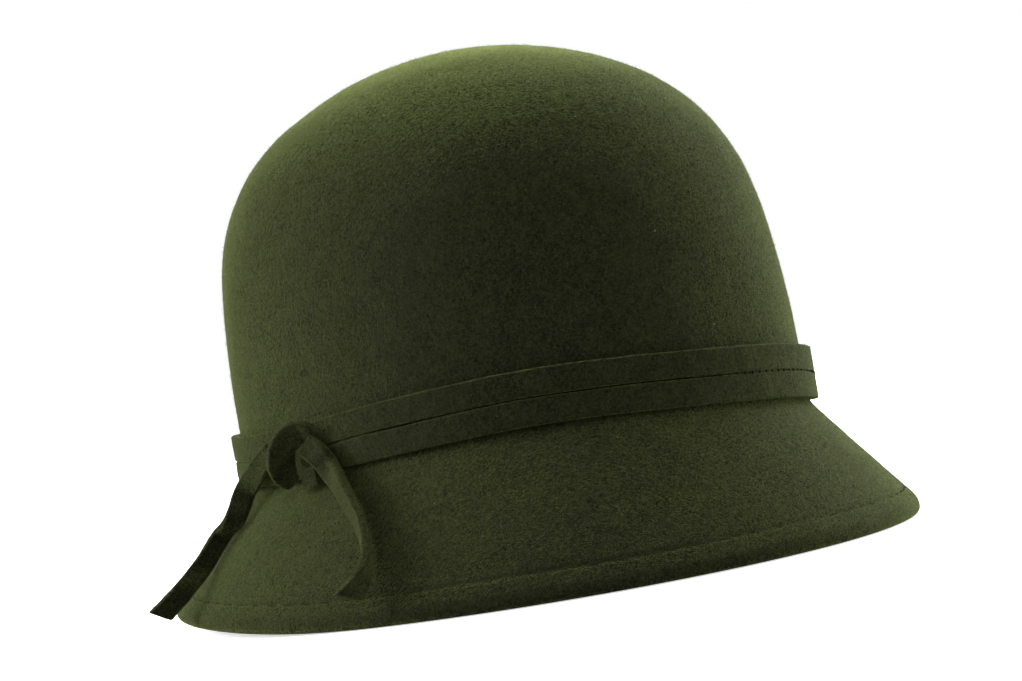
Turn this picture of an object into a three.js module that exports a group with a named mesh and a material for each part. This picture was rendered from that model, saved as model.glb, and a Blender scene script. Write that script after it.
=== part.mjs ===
// A wool-felt cloche hat: a domed crown and a bell brim blocked in one felt, and a narrow felt strip laid round the
// foot of the crown in two rows and knotted at the wearer's right side.
// Frame: millimetres, +Z up. The wearer's front is -Y and the wearer's right is -X. The rim rests on the plane z = 0.
// The pieces are shaped round the crown's own upright axis, and the whole is then centred on its outer box.
import * as THREE from "three";

// Felt body
const felt = 2.5; // wall of crown and brim
const crownLength = 209; // outside, front to back, at the middle of the band
const crownWidth = 175; // outside, side to side, at the middle of the band
const bandHeight = 54; // middle of the band above the ground
const hatHeight = 179;
const rimLength = 268.8; // over the rim, front to back
const rimWidth = 244.8; // over the rim, side to side
const rimForward = 5.5; // the brim reaches further in front than behind
const rimRight = 2.2; // and a little further on the right than on the left
const foldDrop = 9.2; // the brim bends outwards this far below the middle of the band
const hemThickness = 4.2; // the rim is turned under and stitched down
const hemDepth = 9; // width of the turned-under edge, measured along the brim
const rimBend = 6.5; // outer radius of the bend that turns the rim downwards
const rimSlope = 53; // degrees from the level where the bend starts
const rimRoll = 1.8; // height of the rounded outer edge of the rim
const footWidth = 1.6; // flat of the rim that lies on the ground

// Felt strip
const stripWidth = 8.6;
const stripThickness = 3;
const gap = 0.35; // clearance between neighbouring pieces

// Segments
const around = 64; // sections round the hat, shared by the felt body and the band so that their facets lie parallel
const olive = 0x3d4722;

const wallLength = crownLength / 2;
const wallWidth = crownWidth / 2;
const radians = (degrees) => (degrees * Math.PI) / 180;
const mix = (a, b, t) => a + (b - a) * t;
const wave = (t) => 0.5 - 0.5 * Math.cos(Math.PI * Math.min(Math.max(t, 0), 1)); // smooth step from 0 to 1

// Turns are angles round the hat in radians, from the front towards the wearer's right.

// A smooth curve through the rows of a table, read at x: each span is a cubic with slopes from its neighbours.
function smoothAt(rows, xName, yName, x) {
  const last = rows.length - 1;
  const k = Math.min(Math.max(rows.findIndex((row) => row[xName] >= x), 1), last);
  const slope = (i) => {
    const a = rows[Math.max(i - 1, 0)];
    const b = rows[Math.min(i + 1, last)];
    return (b[yName] - a[yName]) / (b[xName] - a[xName]);
  };
  const span = rows[k][xName] - rows[k - 1][xName];
  const t = (x - rows[k - 1][xName]) / span;
  return (
    rows[k - 1][yName] * (1 + 2 * t) * (1 - t) ** 2 +
    rows[k][yName] * t * t * (3 - 2 * t) +
    span * (slope(k - 1) * t * (1 - t) ** 2 - slope(k) * t * t * (1 - t))
  );
}

// The band is not level: it rides high at the front right and dips at the front left. lift is measured from bandHeight.
const bandRoute = [
  { turn: 0, lift: 1.8 },
  { turn: 45, lift: 6.5 },
  { turn: 75, lift: 4.2 },
  { turn: 98, lift: 0.5 },
  { turn: 120, lift: -0.8 },
  { turn: 140, lift: -0.6 },
  { turn: 180, lift: -1.6 },
  { turn: 230, lift: -1.2 },
  { turn: 280, lift: -2.4 },
  { turn: 318, lift: -3.8 },
];
const bandRounds = [-360, 0, 360].flatMap((shift) =>
  bandRoute.map((row) => ({ turn: row.turn + shift, lift: row.lift })),
);
const bandLift = (turn) =>
  smoothAt(bandRounds, "turn", "lift", THREE.MathUtils.euclideanModulo(THREE.MathUtils.radToDeg(turn), 360));

// The rim lifts off the ground in one soft wave behind the knot.
const rimWave = { turn: 135, halfWidth: 60, height: 4.4 };
function rimLift(turn) {
  const away = Math.abs(
    THREE.MathUtils.euclideanModulo(turn - radians(rimWave.turn) + Math.PI, 2 * Math.PI) - Math.PI,
  );
  return rimWave.height * wave(1 - away / radians(rimWave.halfWidth));
}

// Crown profile from the band up: rise is the share of the way to the top, area the square of the section's size
// against the section at the band. The square runs straight into the pole, so the dome closes round.
const crownProfile = [
  { rise: 0.0, size: 1.0 },
  { rise: 0.22, size: 0.992 },
  { rise: 0.42, size: 0.972 },
  { rise: 0.58, size: 0.927 },
  { rise: 0.72, size: 0.835 },
  { rise: 0.83, size: 0.699 },
  { rise: 0.91, size: 0.526 },
  { rise: 0.965, size: 0.33 },
  { rise: 1.0, size: 0.0 },
].map((row) => ({ rise: row.rise, area: row.size ** 2 }));
const crownSize = (rise) => Math.sqrt(Math.max(smoothAt(crownProfile, "rise", "area", rise), 0));
const crownLean = { right: -2.1, front: -2.1 }; // the top leans a little towards the right and the back

// One soft dent in the shoulder of the crown, where the felt has been held.
const dent = { turn: 132, rise: 0.93, depth: 4.4, turnSpread: 38, riseSpread: 0.09 };

// A point of an oval section: half length front to back, half width side to side.
// A squareness of 2 is an ellipse, below 2 is more pointed and above 2 is squarer.
function ovalPoint(turn, halfLength, halfWidth, squareness, height) {
  const c = Math.cos(turn);
  const s = Math.sin(turn);
  const reach = (Math.abs(c) ** squareness + Math.abs(s) ** squareness) ** (-1 / squareness);
  return new THREE.Vector3(-halfWidth * s * reach, -halfLength * c * reach, height);
}

// Outside of the crown. rise is 0 at the middle of the band and 1 at the top, and below 0 the wall goes straight down.
function crownPoint(turn, rise) {
  const up = Math.max(rise, 0);
  const away =
    THREE.MathUtils.euclideanModulo(turn - radians(dent.turn) + Math.PI, 2 * Math.PI) - Math.PI;
  const near = Math.exp(-((away / radians(dent.turnSpread)) ** 2) - ((up - dent.rise) / dent.riseSpread) ** 2);
  const size = crownSize(up) - (dent.depth / wallWidth) * near * Math.min(1, 4 * (1 - up));
  const height = bandHeight + bandLift(turn) * (1 - up) + (hatHeight - bandHeight) * rise;
  const point = ovalPoint(turn, wallLength * size, wallWidth * size, 2, height);
  return point.add(new THREE.Vector3(crownLean.right * up, -crownLean.front * up, 0));
}

// Outside of the brim. reach is 0 at the fold under the band and 1 at the rim: a straight slope down to where the bend
// starts, then an arc until the face stands upright.
const rimSquareness = { front: 1.76, back: 2.09 };
const bendAt = 0.92;
function brimPoint(turn, reach) {
  const facing = 0.5 + 0.5 * Math.cos(turn);
  const straight = Math.min(reach / bendAt, 1);
  const slope = radians(rimSlope);
  const angle = mix(slope, Math.PI / 2, Math.max((reach - bendAt) / (1 - bendAt), 0));
  const inset = rimBend * (1 - Math.sin(slope));
  const out = rimBend * (Math.sin(angle) - Math.sin(slope));
  const down = rimBend * (Math.cos(slope) - Math.cos(angle));
  const top = bandHeight - foldDrop + bandLift(turn);
  const bottom = rimLift(turn) + rimRoll + rimBend * Math.cos(slope);
  const point = ovalPoint(
    turn,
    mix(wallLength, rimLength / 2 - inset, straight) + out,
    mix(wallWidth, rimWidth / 2 - inset, straight) + out,
    mix(2, mix(rimSquareness.back, rimSquareness.front, facing), straight),
    mix(top, bottom, straight) - down,
  );
  return point.sub(new THREE.Vector3(rimRight * straight, rimForward * straight, 0));
}

// The whole outside in one parameter: 0 at the top of the crown, 1 at the middle of the band, 1.2 at the fold and 2 at
// the rim.
const foldAt = 1.2;
function outside(turn, way) {
  if (way <= 1) return crownPoint(turn, Math.cos((way * Math.PI) / 2) ** 0.8);
  const drop = foldDrop / (hatHeight - bandHeight);
  if (way <= foldAt) return crownPoint(turn, (-drop * (way - 1)) / (foldAt - 1));
  return brimPoint(turn, (way - foldAt) / (2 - foldAt));
}

// Outward normal of the outside, by small steps.
function outsideNormal(turn, way) {
  const step = 0.004;
  const low = Math.max(way - step, 0.02);
  const high = Math.min(low + 2 * step, 2);
  const down = outside(turn, high).sub(outside(turn, low));
  const along = outside(turn + step, way).sub(outside(turn - step, way));
  return down.cross(along).normalize().negate();
}

// Closed mesh from rings of points: neighbouring rings are joined, and the first and last are each closed by a point
// or, where both are missing, joined to each other.
function meshFromRings(rings, { start, end } = {}) {
  const count = rings[0].length;
  const points = rings.flat();
  const faces = [];
  const quad = (a, b, c, d) => faces.push(a, b, c, a, c, d);
  const joins = start ? rings.length - 1 : rings.length;
  for (let i = 0; i < joins; i++)
    for (let j = 0; j < count; j++) {
      const next = (i + 1) % rings.length;
      const side = (j + 1) % count;
      quad(i * count + j, i * count + side, next * count + side, next * count + j);
    }
  if (start) {
    points.push(start, end);
    const last = (rings.length - 1) * count;
    for (let j = 0; j < count; j++) {
      const side = (j + 1) % count;
      faces.push(points.length - 2, side, j);
      faces.push(points.length - 1, last + j, last + side);
    }
  }
  const geometry = new THREE.BufferGeometry().setFromPoints(points);
  geometry.setIndex(faces);
  geometry.computeVertexNormals();
  return geometry;
}

function feltMesh(name, geometry, color = olive) {
  const material = new THREE.MeshStandardMaterial({ color, roughness: 0.95, metalness: 0 });
  const mesh = new THREE.Mesh(geometry, material);
  mesh.name = name;
  return mesh;
}

// Crown and brim: rows of the outside from the top to the rim, round the hem, and rows of the inside back to the top.
function feltBody() {
  const domeRows = 14;
  const brimRows = [0.08, 0.24, 0.42, 0.6, 0.76];
  const turns = Array.from({ length: around }, (_, j) => (2 * Math.PI * j) / around);
  const ring = (way, depth) =>
    turns.map((turn) => outside(turn, way).addScaledVector(outsideNormal(turn, way), -depth));
  const brimWay = (reach) => mix(foldAt, 2, reach);

  const ways = [];
  for (let i = 1; i <= domeRows; i++) ways.push(i / domeRows);
  ways.push(mix(1, foldAt, 0.6), mix(1, foldAt, 0.92));
  for (const reach of brimRows) ways.push(brimWay(reach));

  const slant = outside(0, 2).distanceTo(outside(0, foldAt));
  const hemWay = brimWay(1 - hemDepth / slant);
  const rings = ways.map((way) => ring(way, 0));
  rings.push(ring(hemWay, 0));
  for (const reach of [bendAt, 0.95, 0.975, 1]) rings.push(ring(brimWay(reach), 0));

  // The rounded edge: down to the flat foot, and back up the inside of the hem.
  const edge = [
    { out: -0.3, height: 0.42 },
    { out: -1.2, height: 0 },
    { out: -1.2 - footWidth, height: 0 },
    { out: -3.9, height: 0.5 },
  ];
  for (const { out, height } of edge)
    rings.push(
      turns.map((turn) => {
        const rim = outside(turn, 2);
        const flat = outsideNormal(turn, 2).setZ(0).normalize();
        rim.addScaledVector(flat, out);
        rim.z = rimLift(turn) + rimRoll * height;
        return rim;
      }),
    );
  rings.push(ring(2, hemThickness), ring(brimWay(bendAt), hemThickness), ring(hemWay, hemThickness));
  rings.push(ring(brimWay(1 - (hemDepth + 1) / slant), felt));
  for (const way of ways.slice(0, -1).reverse()) rings.push(ring(way, felt));

  const top = crownPoint(0, 1);
  const underTop = top.clone().add(new THREE.Vector3(0, 0, -felt));
  return feltMesh("felt_body", meshFromRings(rings, { start: top, end: underTop }));
}

// Section of the strip: a rectangle with its edges softened, as pairs of shares of the width and the thickness.
const softened = 0.9;
function stripSection(width, thickness) {
  const w = width / 2;
  const t = thickness / 2;
  const c = Math.min(softened, t * 0.7);
  return [
    [w - c, t],
    [w, t - c],
    [w, c - t],
    [w - c, -t],
    [c - w, -t],
    [-w, c - t],
    [-w, t - c],
    [c - w, t],
  ];
}

// One row of the band: the strip laid against the wall, its middle a given height above the middle of the band.
function bandRow(name, height) {
  const rings = [];
  for (let i = 0; i < around; i++) {
    const turn = (2 * Math.PI * i) / around;
    const wall = crownPoint(turn, 0);
    wall.z += height;
    const out = new THREE.Vector3(wall.x / wallWidth ** 2, wall.y / wallLength ** 2, 0).normalize();
    rings.push(
      stripSection(stripWidth, stripThickness).map(([across, deep]) =>
        wall
          .clone()
          .addScaledVector(out, gap + stripThickness / 2 + deep)
          .add(new THREE.Vector3(0, 0, across)),
      ),
    );
  }
  return feltMesh(name, meshFromRings(rings));
}

// A place given by its turn in degrees, its height above the ground and how far it stands out from the crown's wall.
function place({ turn, height, out }) {
  const angle = radians(turn);
  const wall = ovalPoint(angle, wallLength, wallWidth, 2, height);
  const normal = new THREE.Vector3(wall.x / wallWidth ** 2, wall.y / wallLength ** 2, 0).normalize();
  return wall.addScaledVector(normal, out);
}

// The strip carried along a route. Each row of the route gives a place, the width there, and the face: how far the
// strip is rolled about its own run, in degrees, from lying flat against the wall. cut slants the last end.
function strip(name, route, { steps, cut = 0 }) {
  const curve = new THREE.CatmullRomCurve3(route.map(place), false, "centripetal");
  const rings = [];
  const middles = [];
  for (let i = 0; i <= steps; i++) {
    const share = i / steps;
    const at = share * (route.length - 1);
    const k = Math.min(Math.floor(at), route.length - 2);
    const row = (key) => mix(route[k][key], route[k + 1][key], at - k);
    const middle = curve.getPoint(share);
    const along = curve.getTangent(share);
    const turn = radians(row("turn"));
    const outward = new THREE.Vector3(-Math.sin(turn) / wallWidth, -Math.cos(turn) / wallLength, 0).normalize();
    const normal = outward.addScaledVector(along, -outward.dot(along)).normalize();
    normal.applyAxisAngle(along, radians(row("face")));
    const side = new THREE.Vector3().crossVectors(along, normal).normalize();
    const slant = share === 1 ? Math.tan(radians(cut)) : 0;
    rings.push(
      stripSection(row("width"), stripThickness).map(([across, deep]) =>
        middle
          .clone()
          .addScaledVector(side, across)
          .addScaledVector(normal, deep)
          .addScaledVector(along, across * slant),
      ),
    );
    middles.push(middle);
  }
  return feltMesh(name, meshFromRings(rings, { start: middles[0], end: middles.at(-1) }));
}

// The knot: a loop over both rows, a fold of the strip below it, and the strip's two ends.
const knotWrap = [
  { turn: 90.7, height: 60.8, out: 5.8, width: 6.4, face: -25 },
  { turn: 92.5, height: 61.7, out: 7.4, width: 8.0, face: -35 },
  { turn: 94.7, height: 59.8, out: 9.3, width: 9.6, face: -62 },
  { turn: 96.6, height: 55.7, out: 10.2, width: 10.2, face: -86 },
  { turn: 97.4, height: 51.2, out: 9.8, width: 9.6, face: -78 },
  { turn: 97.3, height: 47.4, out: 8.6, width: 7.8, face: -50 },
  { turn: 96.6, height: 45.4, out: 7.6, width: 5.6, face: -30 },
];
const knotUnder = [
  { turn: 94.3, height: 46.6, out: 5.3, width: 6.4, face: 0 },
  { turn: 92.6, height: 46.4, out: 5.7, width: 7.0, face: 0 },
  { turn: 90.9, height: 46.6, out: 5.5, width: 6.4, face: 0 },
];
const tailFront = [
  { turn: 91.3, height: 56.8, out: 7.4, width: 7.4, face: -25 },
  { turn: 88.6, height: 53.3, out: 7.6, width: 8.0, face: -9 },
  { turn: 86.4, height: 47.7, out: 7.4, width: 8.4, face: 2 },
  { turn: 81.7, height: 41.3, out: 13.3, width: 8.2, face: 16 },
  { turn: 77.0, height: 32.5, out: 20.1, width: 8.0, face: 26 },
  { turn: 74.4, height: 24.7, out: 26.0, width: 7.8, face: 38 },
  { turn: 73.3, height: 19.0, out: 31.0, width: 7.8, face: 58 },
  { turn: 73.3, height: 14.3, out: 36.5, width: 8.0, face: 96 },
  { turn: 73.8, height: 10.9, out: 41.1, width: 8.2, face: 128 },
];
const tailBack = [
  { turn: 103.3, height: 56.1, out: 5.6, width: 6.6, face: 0 },
  { turn: 107.7, height: 51.3, out: 6.9, width: 7.0, face: -25 },
  { turn: 113.5, height: 44.3, out: 8.6, width: 7.2, face: -50 },
  { turn: 113.5, height: 35.9, out: 13.9, width: 6.9, face: -75 },
  { turn: 116.1, height: 30.9, out: 17.8, width: 6.6, face: -90 },
  { turn: 115.7, height: 22.4, out: 26.1, width: 6.6, face: -95 },
  { turn: 113.6, height: 15.7, out: 35.9, width: 6.8, face: -95 },
  { turn: 113.7, height: 9.7, out: 44.4, width: 7.4, face: -90 },
];

const hat = new THREE.Group();
hat.add(feltBody());
hat.add(bandRow("band_row_upper", (stripWidth + gap) / 2));
hat.add(bandRow("band_row_lower", -(stripWidth + gap) / 2));
hat.add(strip("knot_wrap", knotWrap, { steps: 20 }));
hat.add(strip("knot_under", knotUnder, { steps: 8 }));
hat.add(strip("tail_front", tailFront, { steps: 26, cut: -34 }));
hat.add(strip("tail_back", tailBack, { steps: 24, cut: 25 }));

const middle = new THREE.Box3().setFromObject(hat).getCenter(new THREE.Vector3());
hat.position.set(-middle.x, -middle.y, 0);
export default hat;
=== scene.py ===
import math

import bpy
import numpy as np
from mathutils import Matrix, Vector


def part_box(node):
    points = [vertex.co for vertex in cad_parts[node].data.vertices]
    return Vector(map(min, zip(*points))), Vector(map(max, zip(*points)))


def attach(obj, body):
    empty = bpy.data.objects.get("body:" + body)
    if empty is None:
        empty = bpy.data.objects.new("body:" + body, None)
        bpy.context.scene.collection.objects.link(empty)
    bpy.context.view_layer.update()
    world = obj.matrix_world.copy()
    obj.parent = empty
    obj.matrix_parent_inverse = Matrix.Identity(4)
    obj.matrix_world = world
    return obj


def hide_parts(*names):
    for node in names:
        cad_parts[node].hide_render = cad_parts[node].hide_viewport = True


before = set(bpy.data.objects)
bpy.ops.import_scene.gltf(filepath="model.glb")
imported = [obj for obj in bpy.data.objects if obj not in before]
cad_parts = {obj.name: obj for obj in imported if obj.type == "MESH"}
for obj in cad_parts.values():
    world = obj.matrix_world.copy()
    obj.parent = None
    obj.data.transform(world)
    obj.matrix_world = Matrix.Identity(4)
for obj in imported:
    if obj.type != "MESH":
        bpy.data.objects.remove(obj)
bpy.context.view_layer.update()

print("frame loaded:", ", ".join(sorted(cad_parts)))

# Shapes are worked out in millimetres round the hat's own upright axis, with z = 0 at the rim's foot, and
# put into the frame in metres by addPiece. turn is the angle round the hat, in radians, from the wearer's
# front to their right.
mm = 0.001
rowLow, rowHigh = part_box("band_row_upper")
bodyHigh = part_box("felt_body")[1]
hatAxis = np.array([(rowLow.x + rowHigh.x) / 2, (rowLow.y + rowHigh.y) / 2, 0.0])
chance = np.random.default_rng(27)

strip = {"width": 8.6, "thickness": 3.0, "gap": 0.35}
rowReach = strip["gap"] + strip["thickness"]
crown = {
    "halfLength": (rowHigh.y - rowLow.y) / mm / 2 - rowReach,
    "halfWidth": (rowHigh.x - rowLow.x) / mm / 2 - rowReach,
    "bandHeight": 54.0,
    "top": bodyHigh.z / mm,
    "leanRight": -2.1,
    "leanFront": -2.1,
    # rise is the share of the way from the band to the top, size the section's size there against the one
    # at the band; the sizes come from a fit
    "rise": [0.0, 0.22, 0.42, 0.58, 0.72, 0.83, 0.91, 0.965, 1.0],
    "size": [1.0, 0.992, 0.972, 0.927, 0.835, 0.699, 0.526, 0.33, 0.0],
}
bandRoute = {
    # five of the lifts come from a fitted formula, the others were changed
    "turn": [0, 45, 75, 98, 120, 140, 180, 230, 280, 318],
    "lift": [1.8, 6.5, 4.2, 0.5, -0.8, -0.6, -1.6, -1.2, -2.4, -3.8],
}
dent = {"turn": 132, "rise": 0.94, "depth": 3.4, "turnSpread": 38, "riseSpread": 0.09}
rim = {
    "halfLength": 132.6,
    "halfWidth": 120.9,
    "forward": 3.0,
    "right": 2.5,
    "squareFront": 1.96,
    "squareBack": 2.04,
    "foldDrop": 9.2,
    "slope": 53.0,
    "bendRadius": 6.5,
    "bendAt": 0.92,
    "roll": 1.8,
    "waveTurn": 135,
    "waveHalf": 60,
    "waveHeight": 4.4,
}


def smoothAt(xs, ys, x):
    # a smooth curve through a table: each span is a cubic whose end slopes come from the rows on either side
    xs, ys = np.asarray(xs, float), np.asarray(ys, float)
    last = len(xs) - 1
    k = np.clip(np.searchsorted(xs, x), 1, last)
    span = xs[k] - xs[k - 1]
    t = (x - xs[k - 1]) / span
    before, after = np.maximum(k - 2, 0), np.minimum(k + 1, last)
    slopeIn = (ys[k] - ys[before]) / (xs[k] - xs[before])
    slopeOut = (ys[after] - ys[k - 1]) / (xs[after] - xs[k - 1])
    value = ys[k - 1] * (1 + 2 * t) * (1 - t) ** 2 + ys[k] * t * t * (3 - 2 * t)
    return value + span * (slopeIn * t * (1 - t) ** 2 - slopeOut * t * t * (1 - t))


def bandLift(turn):
    # height of the band's middle over its mean height, read round the whole turn
    turns = np.concatenate([np.array(bandRoute["turn"]) + shift for shift in (-360, 0, 360)])
    return smoothAt(turns, bandRoute["lift"] * 3, np.degrees(turn) % 360)


def turnAway(turn, degrees):
    # signed angle from a given turn, between minus and plus half a round
    return (turn - math.radians(degrees) + math.pi) % (2 * math.pi) - math.pi


def rimLift(turn):
    # the rim's one soft wave: half a cosine to either side of its middle
    away = np.abs(turnAway(turn, rim["waveTurn"])) / math.radians(rim["waveHalf"])
    return rim["waveHeight"] * (0.5 + 0.5 * np.cos(math.pi * np.clip(away, 0, 1)))


def ovalPoint(turn, halfLength, halfWidth, squareness, height):
    # a point of a superellipse: each share is the cosine or sine over the squareness-norm of the two
    c, s = np.cos(turn), np.sin(turn)
    reach = (np.abs(c) ** squareness + np.abs(s) ** squareness) ** (-1 / squareness)
    x, y, z = np.broadcast_arrays(-halfWidth * s * reach, -halfLength * c * reach, height)
    return np.stack([x, y, z], -1)


def crownPoint(turn, rise):
    # oval sections that shrink up the crown, with the band's lift fading out, a slight lean and one soft dent
    up = np.clip(rise, 0, 1)
    area = smoothAt(crown["rise"], np.square(crown["size"]), up)
    away = turnAway(turn, dent["turn"]) / math.radians(dent["turnSpread"])
    near = np.exp(-(away**2) - ((up - dent["rise"]) / dent["riseSpread"]) ** 2)
    pressed = dent["depth"] / crown["halfWidth"] * near * np.minimum(1, 4 * (1 - up))
    size = np.sqrt(np.maximum(area, 0)) - pressed
    height = crown["bandHeight"] + bandLift(turn) * (1 - up) + (crown["top"] - crown["bandHeight"]) * rise
    point = ovalPoint(turn, crown["halfLength"] * size, crown["halfWidth"] * size, 2, height)
    point[..., 0] += crown["leanRight"] * up
    point[..., 1] -= crown["leanFront"] * up
    return point


def brimPoint(turn, reach):
    # a straight slope from the fold to near the rim, then an arc that bends down until it is upright,
    # while the oval grows and its squareness changes from the crown's to the rim's
    facing = 0.5 + 0.5 * np.cos(turn)
    squareRim = rim["squareBack"] + (rim["squareFront"] - rim["squareBack"]) * facing
    straight = np.clip(reach / rim["bendAt"], 0, 1)
    slope = math.radians(rim["slope"])
    angle = slope + (math.pi / 2 - slope) * np.clip((reach - rim["bendAt"]) / (1 - rim["bendAt"]), 0, 1)
    inset = rim["bendRadius"] * (1 - math.sin(slope))
    outwards = rim["bendRadius"] * (np.sin(angle) - math.sin(slope))
    downwards = rim["bendRadius"] * (math.cos(slope) - np.cos(angle))
    top = crown["bandHeight"] - rim["foldDrop"] + bandLift(turn)
    bottom = rimLift(turn) + rim["roll"] + rim["bendRadius"] * math.cos(slope)
    halfLength = crown["halfLength"] + (rim["halfLength"] - inset - crown["halfLength"]) * straight + outwards
    halfWidth = crown["halfWidth"] + (rim["halfWidth"] - inset - crown["halfWidth"]) * straight + outwards
    height = top + (bottom - top) * straight - downwards
    point = ovalPoint(turn, halfLength, halfWidth, 2 + (squareRim - 2) * straight, height)
    point[..., 0] -= rim["right"] * straight
    point[..., 1] -= rim["forward"] * straight
    return point


foldAt = 1.2


def outside(turn, way):
    # the felt's outer face in one parameter: 0 at the top, 1 at the band, 1.2 at the fold, 2 at the rim
    turn, way = np.broadcast_arrays(np.asarray(turn, float), np.asarray(way, float))
    drop = rim["foldDrop"] / (crown["top"] - crown["bandHeight"])
    upper = np.cos(np.clip(way, 0, 1) * math.pi / 2) ** 0.8
    wall = -drop * (way - 1) / (foldAt - 1)
    onCrown = crownPoint(turn, np.where(way <= 1, upper, wall))
    onBrim = brimPoint(turn, (way - foldAt) / (2 - foldAt))
    return np.where((way <= foldAt)[..., None], onCrown, onBrim)


def softNoise(points, size, seed):
    # smooth random field from -1 to 1: random values on a lattice of the given size, blended by smooth steps
    cells = np.asarray(points) / size + 100
    low = np.floor(cells).astype(np.int64)
    t = cells - low
    t = t * t * (3 - 2 * t)
    total = 0
    for corner in range(8):
        step = np.array([corner & 1, corner >> 1 & 1, corner >> 2])
        at = low + step
        mixed = (at[..., 0] * 73856093) ^ (at[..., 1] * 19349663)
        mixed = mixed ^ (at[..., 2] * 83492791) ^ (seed * 2654435761)
        mixed = (mixed ^ (mixed >> 13)) * 1274126177 & 0x7FFFFFFF
        value = (mixed ^ (mixed >> 16)) % 65536 / 32767.5 - 1
        weight = np.prod(np.where(step == 1, t, 1 - t), -1)
        total = total + value * weight
    return total


def gridNormals(grid, roundRows, roundCols):
    # normal at each point of a grid: cross product of the steps to its neighbours along the rows and the
    # columns
    def stepAlong(axis, isRound):
        if isRound:
            return np.roll(grid, -1, axis) - np.roll(grid, 1, axis)
        return np.gradient(grid, axis=axis)
    normal = np.cross(stepAlong(0, roundRows), stepAlong(1, roundCols))
    return normal / np.maximum(np.linalg.norm(normal, axis=-1, keepdims=True), 1e-9)


def gridFaces(rows, cols, roundRows=False, roundCols=True):
    # quads between neighbouring rows and columns, wrapped where a direction is round
    i = np.arange(rows if roundRows else rows - 1)[:, None]
    j = np.arange(cols if roundCols else cols - 1)[None, :]
    ni, nj = (i + 1) % rows, (j + 1) % cols
    quads = [i * cols + j, ni * cols + j, ni * cols + nj, i * cols + nj]
    return np.stack([np.broadcast_to(q, (i.size, j.size)) for q in quads], -1).reshape(-1, 4)


def capFaces(start, cols, centre, flip):
    # fan of triangles from a row of points to one middle point
    j = np.arange(cols)
    a, b = start + j, start + (j + 1) % cols
    return np.stack([np.full(cols, centre), a, b] if flip else [np.full(cols, centre), b, a], -1)


def addPiece(name, points, faceSets, material, replaced=(), layers=None, smooth=True):
    # points in millimetres round the hat's axis; faceSets are arrays of triangles or quads; layers are
    # point values
    mesh = bpy.data.meshes.new(name)
    flat = (np.asarray(points).reshape(-1, 3) * mm + hatAxis).astype(np.float32)
    corners = np.concatenate([f.ravel() for f in faceSets]).astype(np.int32)
    counts = np.concatenate([np.full(len(f), f.shape[1]) for f in faceSets])
    mesh.vertices.add(len(flat))
    mesh.vertices.foreach_set("co", flat.ravel())
    mesh.loops.add(len(corners))
    mesh.loops.foreach_set("vertex_index", corners)
    mesh.polygons.add(len(counts))
    mesh.polygons.foreach_set("loop_start", (np.cumsum(counts) - counts).astype(np.int32))
    mesh.polygons.foreach_set("use_smooth", np.full(len(counts), smooth))
    for layer, values in (layers or {}).items():
        attribute = mesh.attributes.new(layer, "FLOAT", "POINT")
        attribute.data.foreach_set("value", np.asarray(values, np.float32).ravel())
    mesh.update(calc_edges=True)
    mesh.validate()
    mesh.materials.append(material)
    piece = bpy.data.objects.new(name, mesh)
    bpy.context.scene.collection.objects.link(piece)
    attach(piece, "root")
    if replaced:
        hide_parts(*replaced)
    print("piece", name, "triangles", int((counts - 2).sum()))
    return piece


stage = {
    "floorSize": 14.0,
    "floorColour": (0.9, 0.9, 0.9, 1),
    "floorDrop": 0.0003,
    "floorGlow": 0.62,
    "floorBounce": (0.4, 0.4, 0.4, 1),
    "skyWhite": 1.0,
    "skyLight": 0.5,
}
camera = {
    "azimuth": -45.0,
    "elevation": 1.4,
    "roll": 9.85,
    "distance": 1.0,
    "lens": 102.98,
    "sensor": 36.0,
    "lookHeight": 0.060,
    "aimRight": -0.0018,
    "aimUp": 0.0183,
}


def makeCamera():
    # the camera stands on a ray from the hat's axis, is turned about its own line of sight by the roll,
    # and looks a little past the ray's start so that the hat sits in the picture as it should
    azimuth, elevation, roll = (math.radians(camera[key]) for key in ("azimuth", "elevation", "roll"))
    levelShare = math.cos(elevation)
    back = Vector((math.sin(azimuth) * levelShare, -math.cos(azimuth) * levelShare, math.sin(elevation)))
    target = Vector(hatAxis) + Vector((0, 0, camera["lookHeight"]))
    place = target + back * camera["distance"]
    spin = Matrix.Rotation(-roll, 3, back)
    right = spin @ Vector((0, 0, 1)).cross(back).normalized()
    up = back.cross(right)
    aim = target + right * camera["aimRight"] + up * camera["aimUp"]
    sight = (place - aim).normalized()
    across = up.cross(sight).normalized()
    turned = Matrix((across, sight.cross(across), sight)).transposed()
    data = bpy.data.cameras.new("camera")
    data.lens = camera["lens"]
    data.sensor_width = camera["sensor"]
    data.clip_start, data.clip_end = 0.01, 40
    eye = bpy.data.objects.new("camera", data)
    eye.matrix_world = Matrix.Translation(place) @ turned.to_4x4()
    bpy.context.scene.collection.objects.link(eye)
    bpy.context.scene.camera = eye


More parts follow.
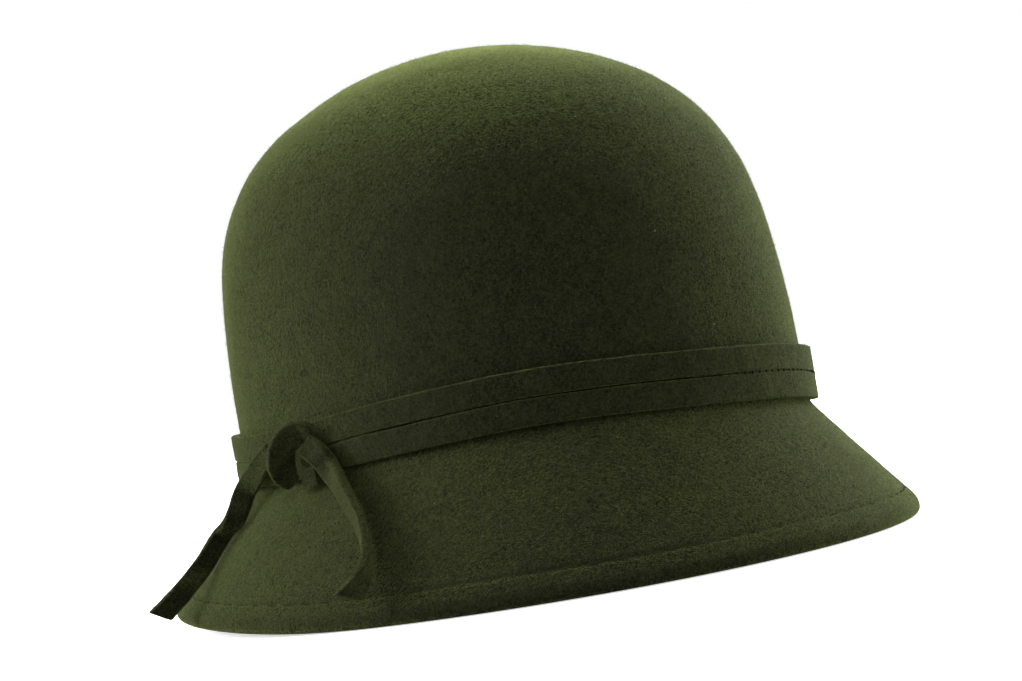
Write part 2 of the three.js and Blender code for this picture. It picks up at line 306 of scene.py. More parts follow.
def makeStage():
    # a flat pale floor, wide enough to meet the white sky out of sight
    half = stage["floorSize"] / 2
    mesh = bpy.data.meshes.new("floor")
    corners = [(-half, -half), (half, -half), (half, half), (-half, half)]
    mesh.from_pydata([(x, y, -stage["floorDrop"]) for x, y in corners], [], [(0, 1, 2, 3)])
    floor = bpy.data.objects.new("floor", mesh)
    paint = bpy.data.materials.new("floorPaint")
    paint.use_nodes = True
    shader = paint.node_tree.nodes["Principled BSDF"]
    shader.inputs["Base Color"].default_value = stage["floorColour"]
    shader.inputs["Roughness"].default_value = 0.9
    shader.inputs["Specular IOR Level"].default_value = 0.1
    shader.inputs["Emission Color"].default_value = (1, 1, 1, 1)
    shader.inputs["Emission Strength"].default_value = stage["floorGlow"]
    # the lens sees the bright sweep, while the hat gets only a dim bounce from it
    bounce = paint.node_tree.nodes.new("ShaderNodeBsdfDiffuse")
    bounce.inputs["Color"].default_value = stage["floorBounce"]
    path = paint.node_tree.nodes.new("ShaderNodeLightPath")
    mix = paint.node_tree.nodes.new("ShaderNodeMixShader")
    output = paint.node_tree.nodes["Material Output"]
    paint.node_tree.links.new(path.outputs["Is Camera Ray"], mix.inputs["Fac"])
    paint.node_tree.links.new(bounce.outputs["BSDF"], mix.inputs[1])
    paint.node_tree.links.new(shader.outputs["BSDF"], mix.inputs[2])
    paint.node_tree.links.new(mix.outputs["Shader"], output.inputs["Surface"])
    mesh.materials.append(paint)
    bpy.context.scene.collection.objects.link(floor)


lamps = [
    # place in metres from the hat's axis, size, power in watts
    {"name": "leftBack", "place": (-1.05, 1.25, 0.7), "size": 1.1, "power": 50},
    {"name": "rightBack", "place": (1.4, -0.15, 0.7), "size": 1.1, "power": 54},
    {"name": "topSoft", "place": (0.25, 0.4, 1.6), "size": 1.0, "power": 5},
    {"name": "farBack", "place": (1.15, 1.15, 0.5), "size": 1.7, "power": 42},
    {"name": "rightSide", "place": (0.9, -1.25, 0.5), "size": 0.8, "power": 10},
    {"name": "leftKey", "place": (-1.5, -0.35, 0.7), "size": 0.6, "power": 3.5},
]


def makeLights():
    world = bpy.data.worlds.new("sky")
    bpy.context.scene.world = world
    world.use_nodes = True
    tree = world.node_tree
    tree.nodes.clear()
    output = tree.nodes.new("ShaderNodeOutputWorld")
    seen = tree.nodes.new("ShaderNodeBackground")
    seen.inputs["Strength"].default_value = stage["skyWhite"]
    light = tree.nodes.new("ShaderNodeBackground")
    light.inputs["Strength"].default_value = stage["skyLight"]
    path = tree.nodes.new("ShaderNodeLightPath")
    mix = tree.nodes.new("ShaderNodeMixShader")
    for background in (seen, light):
        background.inputs["Color"].default_value = (1, 1, 1, 1)
    tree.links.new(path.outputs["Is Camera Ray"], mix.inputs["Fac"])
    tree.links.new(light.outputs["Background"], mix.inputs[1])
    tree.links.new(seen.outputs["Background"], mix.inputs[2])
    tree.links.new(mix.outputs["Shader"], output.inputs["Surface"])
    for lamp in lamps:
        data = bpy.data.lights.new(lamp["name"], "AREA")
        data.shape = "DISK"
        data.size = lamp["size"]
        data.energy = lamp["power"]
        thing = bpy.data.objects.new(lamp["name"], data)
        place = Vector(lamp["place"]) + Vector(hatAxis)
        aim = Vector(hatAxis) + Vector((0, 0, 0.09))
        turned = (place - aim).to_track_quat("Z", "Y").to_matrix().to_4x4()
        thing.matrix_world = Matrix.Translation(place) @ turned
        thing.visible_camera = False
        bpy.context.scene.collection.objects.link(thing)
    bpy.context.scene.view_settings.view_transform = "Standard"
    bpy.context.scene.view_settings.look = "None"


makeCamera()
makeStage()
makeLights()
print("camera, stage and lights ready")


def newSocket(group, name, way, kind, value=None):
    made = group.interface.new_socket(name=name, in_out=way, socket_type=kind)
    if value is not None:
        made.default_value = value
    return made


def feltNapGroup():
    # felt seen close: soft mottling, crossing fibres drawn as the level lines of warped noise, and stray
    # pale specks
    group = bpy.data.node_groups.new("feltNap", "ShaderNodeTree")
    newSocket(group, "Vector", "INPUT", "NodeSocketVector")
    newSocket(group, "Dark", "INPUT", "NodeSocketColor", (0.01, 0.01, 0.01, 1))
    newSocket(group, "Light", "INPUT", "NodeSocketColor", (0.05, 0.05, 0.05, 1))
    newSocket(group, "Fleck", "INPUT", "NodeSocketColor", (0.3, 0.3, 0.2, 1))
    newSocket(group, "Mottle Size", "INPUT", "NodeSocketFloat", 2.4)
    newSocket(group, "Fibre Size", "INPUT", "NodeSocketFloat", 1.3)
    newSocket(group, "Fibre Amount", "INPUT", "NodeSocketFloat", 0.5)
    newSocket(group, "Fleck Amount", "INPUT", "NodeSocketFloat", 1.0)
    newSocket(group, "Color", "OUTPUT", "NodeSocketColor")
    newSocket(group, "Height", "OUTPUT", "NodeSocketFloat")
    newSocket(group, "Roughness", "OUTPUT", "NodeSocketFloat")
    nodes, links = group.nodes, group.links
    given = nodes.new("NodeGroupInput")
    result = nodes.new("NodeGroupOutput")

    def put(target, source):
        if isinstance(source, (int, float)):
            target.default_value = source
        else:
            links.new(source, target)

    def math2(kind, a, b=0.0, clamp=False):
        node = nodes.new("ShaderNodeMath")
        node.operation = kind
        node.use_clamp = clamp
        put(node.inputs[0], a)
        put(node.inputs[1], b)
        return node.outputs[0]

    def noise(scale, detail, rough, warp, shift):
        place = nodes.new("ShaderNodeVectorMath")
        place.operation = "ADD"
        links.new(given.outputs["Vector"], place.inputs[0])
        place.inputs[1].default_value = (shift, shift * 0.37, -shift * 0.71)
        node = nodes.new("ShaderNodeTexNoise")
        links.new(place.outputs[0], node.inputs["Vector"])
        put(node.inputs["Scale"], scale)
        node.inputs["Detail"].default_value = detail
        node.inputs["Roughness"].default_value = rough
        node.inputs["Distortion"].default_value = warp
        return node.outputs["Fac"]

    def ramp(value, low, high):
        node = nodes.new("ShaderNodeMapRange")
        node.interpolation_type = "SMOOTHSTEP"
        put(node.inputs["Value"], value)
        node.inputs["From Min"].default_value = low
        node.inputs["From Max"].default_value = high
        return node.outputs["Result"]

    mottleScale = math2("DIVIDE", 1000.0, given.outputs["Mottle Size"])
    fibreScale = math2("DIVIDE", 1000.0, given.outputs["Fibre Size"])
    cloud = noise(math2("MULTIPLY", mottleScale, 0.16), 3, 0.6, 0.3, 3.1)
    mottle = noise(mottleScale, 3, 0.62, 0.8, 7.7)
    strands = []
    for share, shift in ((1.0, 11.3), (0.62, 17.9)):
        field = noise(math2("MULTIPLY", fibreScale, share), 1.5, 0.5, 1.6, shift)
        level = math2("ABSOLUTE", math2("SUBTRACT", field, 0.5))
        strands.append(math2("SUBTRACT", 1.0, ramp(level, 0.0, 0.045)))
    strand = math2("MAXIMUM", strands[0], math2("MULTIPLY", strands[1], 0.8))
    cloudShare = math2("MULTIPLY", ramp(cloud, 0.3, 0.7), 0.14)
    mottleShare = math2("MULTIPLY", ramp(mottle, 0.34, 0.66), 0.42)
    tone = math2("ADD", cloudShare, mottleShare)
    drawn = math2("MULTIPLY", strand, given.outputs["Fibre Amount"])
    tone = math2("ADD", tone, math2("MULTIPLY", drawn, 0.6), clamp=True)
    dots = nodes.new("ShaderNodeTexVoronoi")
    links.new(given.outputs["Vector"], dots.inputs["Vector"])
    dots.inputs["Scale"].default_value = 150
    chosen = nodes.new("ShaderNodeSeparateColor")
    links.new(dots.outputs["Color"], chosen.inputs["Color"])
    near = math2("SUBTRACT", 1.0, ramp(dots.outputs["Distance"], 0.02, 0.05))
    fleck = math2("MULTIPLY", near, math2("GREATER_THAN", chosen.outputs["Red"], 0.86))
    fleck = math2("MULTIPLY", fleck, given.outputs["Fleck Amount"])
    mixA = nodes.new("ShaderNodeMix")
    mixA.data_type = "RGBA"
    put(mixA.inputs["Factor"], tone)
    links.new(given.outputs["Dark"], mixA.inputs["A"])
    links.new(given.outputs["Light"], mixA.inputs["B"])
    mixB = nodes.new("ShaderNodeMix")
    mixB.data_type = "RGBA"
    put(mixB.inputs["Factor"], fleck)
    links.new(mixA.outputs["Result"], mixB.inputs["A"])
    links.new(given.outputs["Fleck"], mixB.inputs["B"])
    links.new(mixB.outputs["Result"], result.inputs["Color"])
    height = math2("ADD", math2("MULTIPLY", mottle, 0.6), math2("MULTIPLY", strand, 0.4))
    links.new(height, result.inputs["Height"])
    links.new(math2("SUBTRACT", 0.98, math2("MULTIPLY", strand, 0.1)), result.inputs["Roughness"])
    return group


feltNap = feltNapGroup()
feltFinish = {
    "dark": (0.0050, 0.0058, 0.0026, 1),
    "light": (0.037, 0.0405, 0.0180, 1),
    "fleck": (0.34, 0.36, 0.22, 1),
    "mottleSize": 1.0,
    "fibreSize": 1.1,
    "fibreAmount": 0.7,
    "fleckAmount": 1.0,
    "bump": 0.7,
    "bumpDepth": 0.0006,
    "sheen": 0.62,
    "sheenRoughness": 0.22,
    "sheenTint": (0.66, 0.81, 0.22, 1),
}


def feltMaterial(name, changes=None):
    # the felt's own shader: the nap group drives its colour, roughness and bump, and sheen is its pale fuzz
    finish = {**feltFinish, **(changes or {})}
    material = bpy.data.materials.new(name)
    material.use_nodes = True
    nodes, links = material.node_tree.nodes, material.node_tree.links
    shader = nodes["Principled BSDF"]
    place = nodes.new("ShaderNodeTexCoord")
    nap = nodes.new("ShaderNodeGroup")
    nap.node_tree = feltNap
    links.new(place.outputs["Object"], nap.inputs["Vector"])
    settings = (
        ("Dark", "dark"), ("Light", "light"), ("Fleck", "fleck"), ("Mottle Size", "mottleSize"),
        ("Fibre Size", "fibreSize"), ("Fibre Amount", "fibreAmount"), ("Fleck Amount", "fleckAmount"),
    )
    for socket, key in settings:
        nap.inputs[socket].default_value = finish[key]
    bump = nodes.new("ShaderNodeBump")
    bump.inputs["Strength"].default_value = finish["bump"]
    bump.inputs["Distance"].default_value = finish["bumpDepth"]
    links.new(nap.outputs["Height"], bump.inputs["Height"])
    links.new(bump.outputs["Normal"], shader.inputs["Normal"])
    links.new(nap.outputs["Color"], shader.inputs["Base Color"])
    links.new(nap.outputs["Roughness"], shader.inputs["Roughness"])
    shader.inputs["Specular IOR Level"].default_value = 0.03
    shader.inputs["Sheen Weight"].default_value = finish["sheen"]
    shader.inputs["Sheen Roughness"].default_value = finish["sheenRoughness"]
    shader.inputs["Sheen Tint"].default_value = finish["sheenTint"]
    return material


bodyFelt = feltMaterial("bodyFelt")
stripFelt = feltMaterial("stripFelt", {"fibreSize": 1.0, "mottleSize": 0.9, "fleckAmount": 0.4, "sheen": 0.4})
print("materials ready")

hemStitch = {
    "fromRim": 8.4,
    "groove": 0.26,
    "grooveHalf": 0.75,
    "pucker": 0.5,
    "count": 94,
    "share": 0.78,
    "radius": 0.3,
    "depth": 0.42,
    "colour": (0.018, 0.021, 0.010, 1),
}

# the finished surfaces, kept as grids of points so that the nap can be set on them
surfaces = {}

body = {
    "around": 352,
    "domeRows": 92,
    "wallRows": 14,
    "brimRows": 44,
    "hemRows": 26,
    "fineDepth": 12.0,
    "thickness": 2.5,
    "hemThickness": 4.2,
    "hemDepth": 9.0,
    "footWidth": 1.6,
    "lumps": [(26, 0.32), (9, 0.14), (4.2, 0.06)],  # size and height of each scale of unevenness
}


def makeFeltBody():
    # outer rows from the top to the rim, a rounded turned-under edge, and inner rows one felt thickness
    # inside
    turns = np.linspace(0, 2 * math.pi, body["around"], endpoint=False)[None, :]
    slant = np.linalg.norm(outside(0.0, 2.0) - outside(0.0, foldAt))
    hemShare, fineShare = 1 - body["hemDepth"] / slant, 1 - body["fineDepth"] / slant
    ways = np.concatenate([
        np.arange(1, body["domeRows"] + 1) / body["domeRows"],
        1 + (foldAt - 1) * np.arange(1, body["wallRows"] + 1) / body["wallRows"],
        foldAt + (2 - foldAt) * np.arange(1, body["brimRows"] + 1) / body["brimRows"] * fineShare,
        foldAt + (2 - foldAt) * (
            fineShare + (1 - fineShare) * np.arange(1, body["hemRows"] + 1) / body["hemRows"]
        ),
    ])
    outer = outside(turns, ways[:, None])
    # round the fold off: average each row with its neighbours, most at the fold itself
    softness = np.exp(-(((ways - foldAt) / 0.05) ** 2))[:, None, None]
    for _ in range(6):
        average = outer.copy()
        average[1:-1] = (outer[:-2] + 2 * outer[1:-1] + outer[2:]) / 4
        outer = outer + (average - outer) * softness
    normal = -gridNormals(outer, False, True)
    # the stitch line presses a shallow groove into the face, and the felt puckers a little along it
    fromRim = (2 - ways) / (2 - foldAt) * slant
    pucker = 1 + hemStitch["pucker"] * np.sin(turns[0] * hemStitch["count"])
    groove = np.exp(-(((fromRim - hemStitch["fromRim"]) / hemStitch["grooveHalf"]) ** 2))
    outer = outer - normal * (groove[:, None] * hemStitch["groove"] * pucker[None])[..., None]
    # the turned edge: a half round from the outer face down to the flat foot and up behind it
    rimRow, rimNormal = outer[-1], normal[-1]
    flat = rimNormal * [1, 1, 0]
    flat = flat / np.linalg.norm(flat, axis=1, keepdims=True)
    edge = [(-0.04, 0.78), (-0.2, 0.5), (-0.5, 0.24), (-0.85, 0.08), (-1.2, 0.0), (-2.0, 0.0),
            (-1.2 - body["footWidth"], 0.0), (-3.2, 0.08), (-3.7, 0.3), (-4.05, 0.65)]
    lift = rimLift(turns[0])
    edgeRows = []
    for out, up in edge:
        row = rimRow + flat * out
        row[:, 2] = lift + rim["roll"] * up
        edgeRows.append(row)
    # inner face: the hem is thicker than the felt, with a small step where it ends
    inWays = np.concatenate([ways[-1:-1 - body["hemRows"]:-1][::2], ways[:-body["hemRows"]][::-1][::2]])
    hemWay = foldAt + (2 - foldAt) * hemShare
    depth = np.where(inWays > hemWay - 1e-6, body["hemThickness"], body["thickness"])
    keep = [int(np.argmin(np.abs(ways - way))) for way in inWays]
    inner = outer[keep] - normal[keep] * depth[:, None, None]
    grid = np.concatenate([outer, np.array(edgeRows), inner])
    along = np.concatenate([ways, np.full(len(edge), 2.02), inWays])
    # blocked felt is never quite even, and the pole stays where it is
    calm = np.clip(along / 0.25, 0, 1) * np.clip((2.0 - along) / 0.05, 0, 1)
    for k, (size, height) in enumerate(body["lumps"]):
        swell = softNoise(grid, size, 5 + k) * height
        lean = np.concatenate([normal, np.repeat(flat[None], len(edge), 0), normal[keep]])
        grid = grid + lean * (swell * calm[:, None])[..., None]
    rows, cols = grid.shape[:2]
    bandFrom, foldFrom = (int(np.argmax(ways > mark)) for mark in (1.0, foldAt + 0.01))
    surfaces["crown"] = (grid[:bandFrom], False)
    surfaces["brim"] = (grid[foldFrom:len(ways) + 4], False)
    top = crownPoint(np.array([0.0]), np.array([1.0]))
    points = np.concatenate([grid.reshape(-1, 3), top, top - [0, 0, body["thickness"]]])
    faces = [gridFaces(rows, cols)[:, ::-1], capFaces(0, cols, rows * cols, True)[:, ::-1],
             capFaces((rows - 1) * cols, cols, rows * cols + 1, False)[:, ::-1]]
    return addPiece("hat_body", points, faces, bodyFelt, ["felt_body"])


makeFeltBody()

def stripSection(width, thickness, corner, steps):
    # outline of the strip's cross-section: a rectangle whose four corners are quarter rounds
    quarter = np.linspace(0, math.pi / 2, 5)
    parts = []
    for k, (sx, sy) in enumerate(((1, 1), (-1, 1), (-1, -1), (1, -1))):
        angle = quarter + k * math.pi / 2
        parts.append(np.stack([np.cos(angle) * corner + sx * (width / 2 - corner),
                               np.sin(angle) * corner + sy * (thickness / 2 - corner)], -1))
    outline = np.concatenate(parts)
    closed = np.concatenate([outline, outline[:1]])
    reach = np.concatenate([[0], np.cumsum(np.linalg.norm(np.diff(closed, axis=0), axis=1))])
    extra = np.linspace(0, reach[-1], steps * 4, endpoint=False)
    marks = np.unique(np.round(np.concatenate([extra, reach[:-1]]), 4))
    return np.stack([np.interp(marks, reach, closed[:, k]) for k in (0, 1)], -1)


bandRows = {
    "around": 720,
    "corner": 0.7,
    "openGap": 0.5,
    "shutGap": 0.1,
    "openTurn": 48,
    "openSpread": 44,
    "lumps": [(14, 0.22), (4.5, 0.12), (2.2, 0.07)],
}


def makeBandRow(name, height, seed):
    # a closed strip laid round the foot of the crown, its outline carried along the wall's oval
    turns = np.linspace(0, 2 * math.pi, bandRows["around"], endpoint=False)
    wall = crownPoint(turns, np.zeros_like(turns))
    wall[:, 2] += height
    out = wall * [1 / crown["halfWidth"] ** 2, 1 / crown["halfLength"] ** 2, 0]
    out /= np.linalg.norm(out, axis=1, keepdims=True)
    outline = stripSection(strip["width"], strip["thickness"], bandRows["corner"], 8)
    middle = wall + out * (strip["gap"] + strip["thickness"] / 2)
    # the rows part a little in front of the knot and touch all the way round behind it
    opened = np.exp(-((turnAway(turns, bandRows["openTurn"]) / math.radians(bandRows["openSpread"])) ** 6))
    seam = bandRows["shutGap"] + (bandRows["openGap"] - bandRows["shutGap"]) * opened
    towards = -math.copysign(1, height)
    near = np.clip(towards * outline[:, 0] / (strip["width"] / 2), 0, 1)
    across = outline[None, :, 0] + towards * near[None] * (strip["gap"] - seam)[:, None] / 2
    grid = middle[:, None] + outline[None, :, 1:] * out[:, None] + across[..., None] * np.array([0, 0, 1.0])
    normal = gridNormals(grid, True, True)
    front = (np.einsum("ijk,ik->ij", normal, out) + 1) / 2
    for k, (size, depth) in enumerate(bandRows["lumps"]):
        grid = grid + normal * (softNoise(grid, size, seed + k) * depth * front)[..., None]
    rows, cols = grid.shape[:2]
    surfaces[name] = (grid, True)
    faces = [gridFaces(rows, cols, True, True)]
    return addPiece(name.replace("band_row", "strip_row"), grid, faces, stripFelt, [name])


rowMiddle = (strip["width"] + strip["gap"]) / 2
makeBandRow("band_row_upper", rowMiddle, 40)
makeBandRow("band_row_lower", -rowMiddle, 50)

# The turn, height and out rows of these four routes were solved by a scratch program, not chosen by hand.
# The knot's routes: turn in degrees, height above the ground, distance out from the crown's wall, width of
# the strip there, and face, the strip's roll about its own run from lying flat on the wall.
knotWrap = {
    "turn": [90.7, 92.5, 94.7, 96.6, 97.4, 97.3, 96.6],
    "height": [60.8, 61.7, 59.8, 55.7, 51.2, 47.4, 45.4],
    "out": [5.8, 7.4, 9.3, 10.2, 9.8, 8.6, 7.6],
    "width": [6.4, 8.0, 9.6, 10.2, 9.6, 7.8, 5.6],
    "face": [-25, -35, -62, -86, -78, -50, -30],
    "steps": 130,
    "cut": 0,
}
knotUnder = {
    "turn": [94.3, 92.6, 90.9],
    "height": [46.6, 46.4, 46.6],
    "out": [5.3, 5.7, 5.5],
    "width": [6.4, 7.0, 6.4],
    "face": [0, 0, 0],
    "steps": 50,
    "cut": 0,
}
tailFront = {
    "turn": [91.3, 88.6, 86.4, 81.7, 77.0, 74.4, 73.3, 73.3, 73.8],
    "height": [56.8, 53.3, 47.7, 41.3, 32.5, 24.7, 19.0, 14.3, 10.9],
    "out": [7.4, 7.6, 7.4, 13.3, 20.1, 26.0, 31.0, 36.5, 41.1],
    "width": [7.4, 8.0, 8.4, 8.2, 8.0, 7.8, 7.8, 8.0, 8.2],
    "face": [-25, -9, 2, 16, 26, 38, 58, 96, 128],
    "steps": 180,
    "cut": -34,
}
tailBack = {
    "turn": [103.3, 107.7, 113.5, 113.5, 116.1, 115.7, 113.6, 113.7],
    "height": [56.1, 51.3, 44.3, 35.9, 30.9, 22.4, 15.7, 9.7],
    "out": [5.6, 6.9, 8.6, 13.9, 17.8, 26.1, 35.9, 44.4],
    "width": [6.6, 7.0, 7.2, 6.9, 6.6, 6.6, 6.8, 7.4],
    "face": [0, -25, -50, -75, -90, -95, -95, -90],
    "steps": 180,
    "cut": 25,
}
knotLumps = [(9, 0.16), (3.6, 0.1), (1.8, 0.06)]


def outwardAt(turn):
    # level normal of the crown's wall at the given turns
    across = -np.sin(turn) / crown["halfWidth"]
    forwards = -np.cos(turn) / crown["halfLength"]
    normal = np.stack([across, forwards, np.zeros_like(turn)], -1)
    return normal / np.linalg.norm(normal, axis=-1, keepdims=True)


def routeFrames(route):
    # the strip's middle line as a smooth curve through the route's rows, with its run, its face normal and
    # its side
    count = len(route["turn"])
    turn = np.radians(route["turn"])
    rows = ovalPoint(turn, crown["halfLength"], crown["halfWidth"], 2, np.array(route["height"], float))
    rows = rows + outwardAt(turn) * np.array(route["out"])[:, None]
    at = np.linspace(0, count - 1, route["steps"] + 1)
    knots = np.arange(count)
    middle = np.stack([smoothAt(knots, rows[:, k], at) for k in range(3)], -1)
    run = np.gradient(middle, axis=0)
    run /= np.linalg.norm(run, axis=1, keepdims=True)
    wallTurn = smoothAt(knots, turn, at)
    out = outwardAt(wallTurn)
    normal = out - run * np.sum(out * run, 1, keepdims=True)
    normal /= np.linalg.norm(normal, axis=1, keepdims=True)
    face = np.radians(smoothAt(knots, route["face"], at))[:, None]
    normal = normal * np.cos(face) + np.cross(run, normal) * np.sin(face)
    return middle, run, normal, np.cross(run, normal), smoothAt(knots, route["width"], at)


def makeStrip(name, node, route, seed):
    # the strip's outline carried along its route; each end is closed by a few rows that draw in to a point
    middle, run, normal, side, width = routeFrames(route)
    outline = stripSection(strip["width"], strip["thickness"], 1.0, 10)
    scale = (width / strip["width"])[:, None]
    cols = len(outline)
    across = outline[None, :, 0] * scale
    deep = np.repeat(outline[None, :, 1], len(middle), 0)
    slant = math.tan(math.radians(route["cut"]))
    reach = np.linspace(0, 1, len(middle))[:, None]
    grid = (middle[:, None] + side[:, None] * across[..., None] + normal[:, None] * deep[..., None]
            + run[:, None] * (across * slant * np.clip((reach - 0.9) * 10, 0, 1))[..., None])
    surface = gridNormals(grid, False, True)
    for k, (size, depth) in enumerate(knotLumps):
        grid = grid + surface * (softNoise(grid, size, seed + k) * depth)[..., None]
    # ends: rounded over a short way
    caps = []
    for end, sign in ((0, -1), (-1, 1)):
        endRow = grid[end]
        centre = endRow.mean(0)
        for share, push in ((0.93, 0.35), (0.8, 0.5), (0.4, 0.55)):
            caps.append(centre + (endRow - centre) * share + run[end] * push * sign)
    grid = np.concatenate([np.array(caps[2::-1]), grid, np.array(caps[3:])])
    rows = len(grid)
    ends = np.stack([grid[0].mean(0), grid[-1].mean(0)])
    surfaces[node] = (grid, False)
    points = np.concatenate([grid.reshape(-1, 3), ends])
    faces = [gridFaces(rows, cols), capFaces(0, cols, rows * cols, True),
             capFaces((rows - 1) * cols, cols, rows * cols + 1, False)]
    return addPiece(name, points, faces, stripFelt, [node])


makeStrip("knot_loop", "knot_wrap", knotWrap, 60)
makeStrip("knot_fold", "knot_under", knotUnder, 63)
makeStrip("tie_end_front", "tail_front", tailFront, 66)
makeStrip("tie_end_back", "tail_back", tailBack, 69)



def makeStitches(name, starts, ends, outs, finish):
    # each stitch is a small closed tube from its start to its end, arched so that both ends dive into the
    # felt
    share = np.linspace(0, 1, 9)[None, :, None]
    centre = starts[:, None] * (1 - share) + ends[:, None] * share
    centre = centre - outs[:, None] * (finish["depth"] + finish["radius"] * (2 * (2 * share - 1) ** 4))
    along = (ends - starts) / np.linalg.norm(ends - starts, axis=1, keepdims=True)
    side = np.cross(along, outs)
    angle = np.linspace(0, 2 * math.pi, 8, endpoint=False)[None, None, :, None]
    slim = finish["radius"] * (1 - 0.45 * (2 * share - 1) ** 4)[..., None]
    grid = centre[:, :, None] + slim * (np.cos(angle) * side[:, None, None] + np.sin(angle) * outs[:, None, None])
    count, rows, cols = grid.shape[:3]
    offsets = (np.arange(count) * rows * cols)[:, None, None]
    walls = gridFaces(rows, cols)[None] + offsets
    fan = np.stack([np.zeros(cols - 2, int), np.arange(1, cols - 1), np.arange(2, cols)], -1)
    caps = np.concatenate([fan, (rows - 1) * cols + fan[:, ::-1]])[None] + offsets
    colour = finish["colour"]
    paint = feltMaterial(name + "Thread", {"dark": colour, "light": colour, "fleckAmount": 0.0, "sheen": 0.1})
    return addPiece(name, grid, [walls.reshape(-1, 4), caps.reshape(-1, 3)], paint)


def hemStitches():
    # starts and ends at equal steps of length round the rim, on the face before it is grooved
    slant = np.linalg.norm(outside(0.0, 2.0) - outside(0.0, foldAt))
    way = 2 - hemStitch["fromRim"] / slant * (2 - foldAt)
    turns = np.linspace(0, 2 * math.pi, 4000)
    line = outside(turns, way)
    reach = np.concatenate([[0], np.cumsum(np.linalg.norm(np.diff(line, axis=0), axis=1))])
    step = reach[-1] / hemStitch["count"]
    begin = np.interp(np.arange(hemStitch["count"]) * step, reach, turns)
    finish = np.interp((np.arange(hemStitch["count"]) + hemStitch["share"]) * step, reach, turns)
    middle = (begin + finish) / 2
    small = 0.004
    out = np.cross(outside(middle + small, way) - outside(middle - small, way),
                   outside(middle, way + small) - outside(middle, way - small))
    out /= np.linalg.norm(out, axis=1, keepdims=True)
    makeStitches("hem_stitches", outside(begin, way), outside(finish, way), out, hemStitch)


bandStitch = {
    "from": -52.0,
    "to": 14.0,
    "count": 32,
    "half": 0.75,
    "radius": 0.3,
    "depth": 0.16,
    "colour": (0.012, 0.014, 0.007, 1),
}


def bandStitches():
    # small upright stitches that catch the two rows to each other behind the knot's open seam
    turns = np.radians(np.linspace(bandStitch["from"], bandStitch["to"], bandStitch["count"]))
    out = outwardAt(turns)
    middle = crownPoint(turns, np.zeros_like(turns)) + out * rowReach
    up = np.array([0, 0, bandStitch["half"]])
    makeStitches("band_stitches", middle - up, middle + up, out, bandStitch)


hemStitches()
bandStitches()
print("felt pieces ready")

# Nap: single fibres standing out of the felt, each a thin ribbon of three triangles in its own cell of the
# bake map.
napFibre = {
    "width": 0.075,
    "shortest": 0.5,
    "longest": 1.6,
    "lowest": 10.0,
    "highest": 62.0,
    "sink": 0.12,
    "curl": 0.35,
    "clearance": 0.05,
    # paler than the felt's own colours: painted glow of back light through the fibres
    "colour": (0.060, 0.070, 0.026, 1),
    "mapShare": 0.8,
    "mapEdge": 0.1,
    "droop": 0.35,
    "taper": 0.8,
}


def napMaterial():
    # one plain colour for every fibre, paler than the felt: painted glow that stands in for back light shining
    # through the thin fibres
    material = bpy.data.materials.new("napFibre")
    material.use_nodes = True
    shader = material.node_tree.nodes["Principled BSDF"]
    shader.inputs["Base Color"].default_value = napFibre["colour"]
    shader.inputs["Roughness"].default_value = 0.85
    shader.inputs["Specular IOR Level"].default_value = 0.1
    return material


def scatterOn(grid, roundRows, count):
    # places spread evenly over a grid: a quad drawn by its area, then a bilinear place and normal inside it
    normal = gridNormals(grid, roundRows, True)
    rows, cols = grid.shape[:2]
    quads = gridFaces(rows, cols, roundRows, True)
    flatPoints, flatNormals = grid.reshape(-1, 3), normal.reshape(-1, 3)
    corner = flatPoints[quads]
    area = np.linalg.norm(np.cross(corner[:, 2] - corner[:, 0], corner[:, 3] - corner[:, 1]), axis=1)
    total = np.cumsum(area)
    chosen = quads[np.searchsorted(total, chance.uniform(0, total[-1], count))]
    u, v = chance.uniform(0, 1, (2, count, 1))
    shares = ((1 - u) * (1 - v), u * (1 - v), u * v, (1 - u) * v)
    place = sum(share * flatPoints[chosen[:, k]] for k, share in enumerate(shares))
    out = sum(share * flatNormals[chosen[:, k]] for k, share in enumerate(shares))
    return place, out / np.maximum(np.linalg.norm(out, axis=1, keepdims=True), 1e-9)


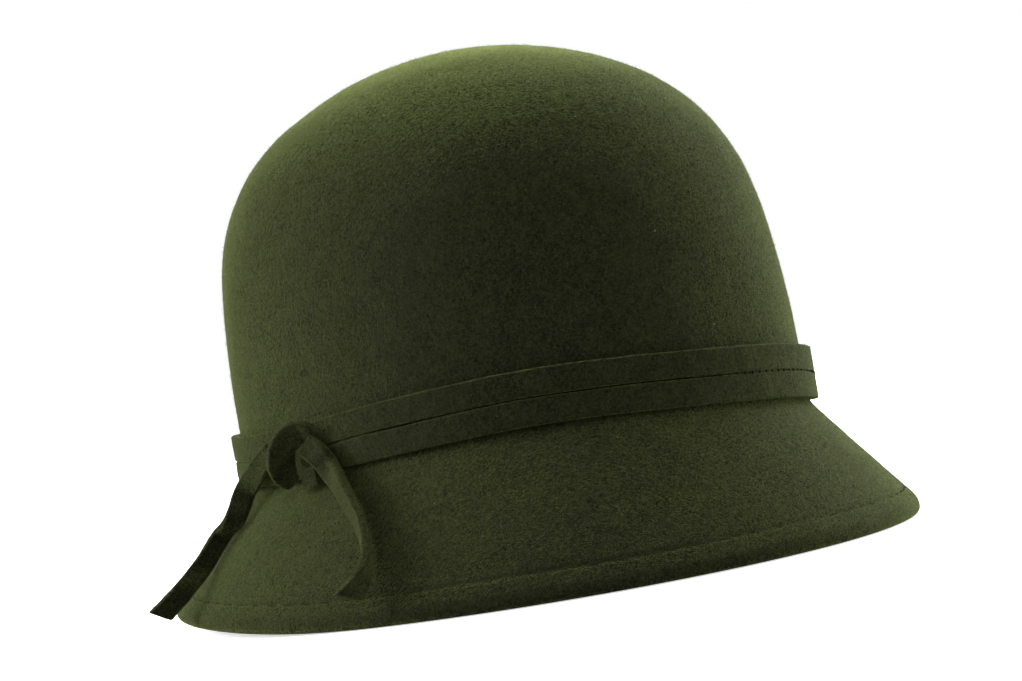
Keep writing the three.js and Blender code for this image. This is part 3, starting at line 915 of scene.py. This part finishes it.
def makeNap(name, parts):
    # parts lists a surface, the number of fibres on it and the sign that turns its grid's normals outwards
    places, outs = [], []
    for key, count, sign in parts:
        grid, roundRows = surfaces[key]
        place, out = scatterOn(grid, roundRows, count)
        places.append(place)
        outs.append(out * sign)
    root, out = np.concatenate(places), np.concatenate(outs)
    count = len(root)
    anyWay = chance.normal(size=(count, 3))
    lying = np.cross(out, anyWay)
    lying /= np.linalg.norm(lying, axis=1, keepdims=True)
    rise = np.radians(chance.uniform(napFibre["lowest"], napFibre["highest"], (count, 1)))
    along = lying * np.cos(rise) + out * np.sin(rise)
    side = np.cross(along, out)
    side /= np.linalg.norm(side, axis=1, keepdims=True)
    length = chance.uniform(napFibre["shortest"], napFibre["longest"], (count, 1))
    curl = chance.normal(0, napFibre["curl"], (count, 1))
    base = root - out * napFibre["sink"]
    middle = base + along * length * 0.5
    tip = middle + (along + side * curl - out * napFibre["droop"]) * length * 0.5
    half = side * napFibre["width"] / 2
    waist = half * napFibre["taper"]
    points = np.stack([base - half, base + half, middle + waist, middle - waist, tip], 1)
    # fibres that would reach through the ground are left out
    points = points[points[..., 2].min(1) > napFibre["clearance"]]
    kept = len(points)
    first = np.arange(kept)[:, None] * 5
    triangles = np.concatenate([first + [0, 1, 2], first + [0, 2, 3], first + [3, 2, 4]], 1).reshape(-1, 3)
    piece = addPiece(name, points, [triangles], napPaint)
    cells = int(math.ceil(math.sqrt(kept)))
    cell = np.stack([np.arange(kept) % cells, np.arange(kept) // cells], -1)[:, None]
    spot = np.array([(0, 0), (1, 0), (1, 0.5), (0, 0.5), (0.5, 1)]) * napFibre["mapShare"] + napFibre["mapEdge"]
    corner = ((cell + spot[None]) / cells).reshape(-1, 2)[triangles.ravel()]
    piece.data.uv_layers.new(name="OFBake").data.foreach_set("uv", corner.ravel().astype(np.float32))
    return piece


napPaint = napMaterial()
makeNap("crown_nap", [("crown", 62000, -1)])
makeNap("brim_nap", [("brim", 50000, -1)])
makeNap("strip_nap", [
    ("band_row_upper", 11000, 1), ("band_row_lower", 11000, 1), ("knot_wrap", 1500, 1),
    ("knot_under", 700, 1), ("tail_front", 3000, 1), ("tail_back", 3000, 1),
])
print("nap ready")
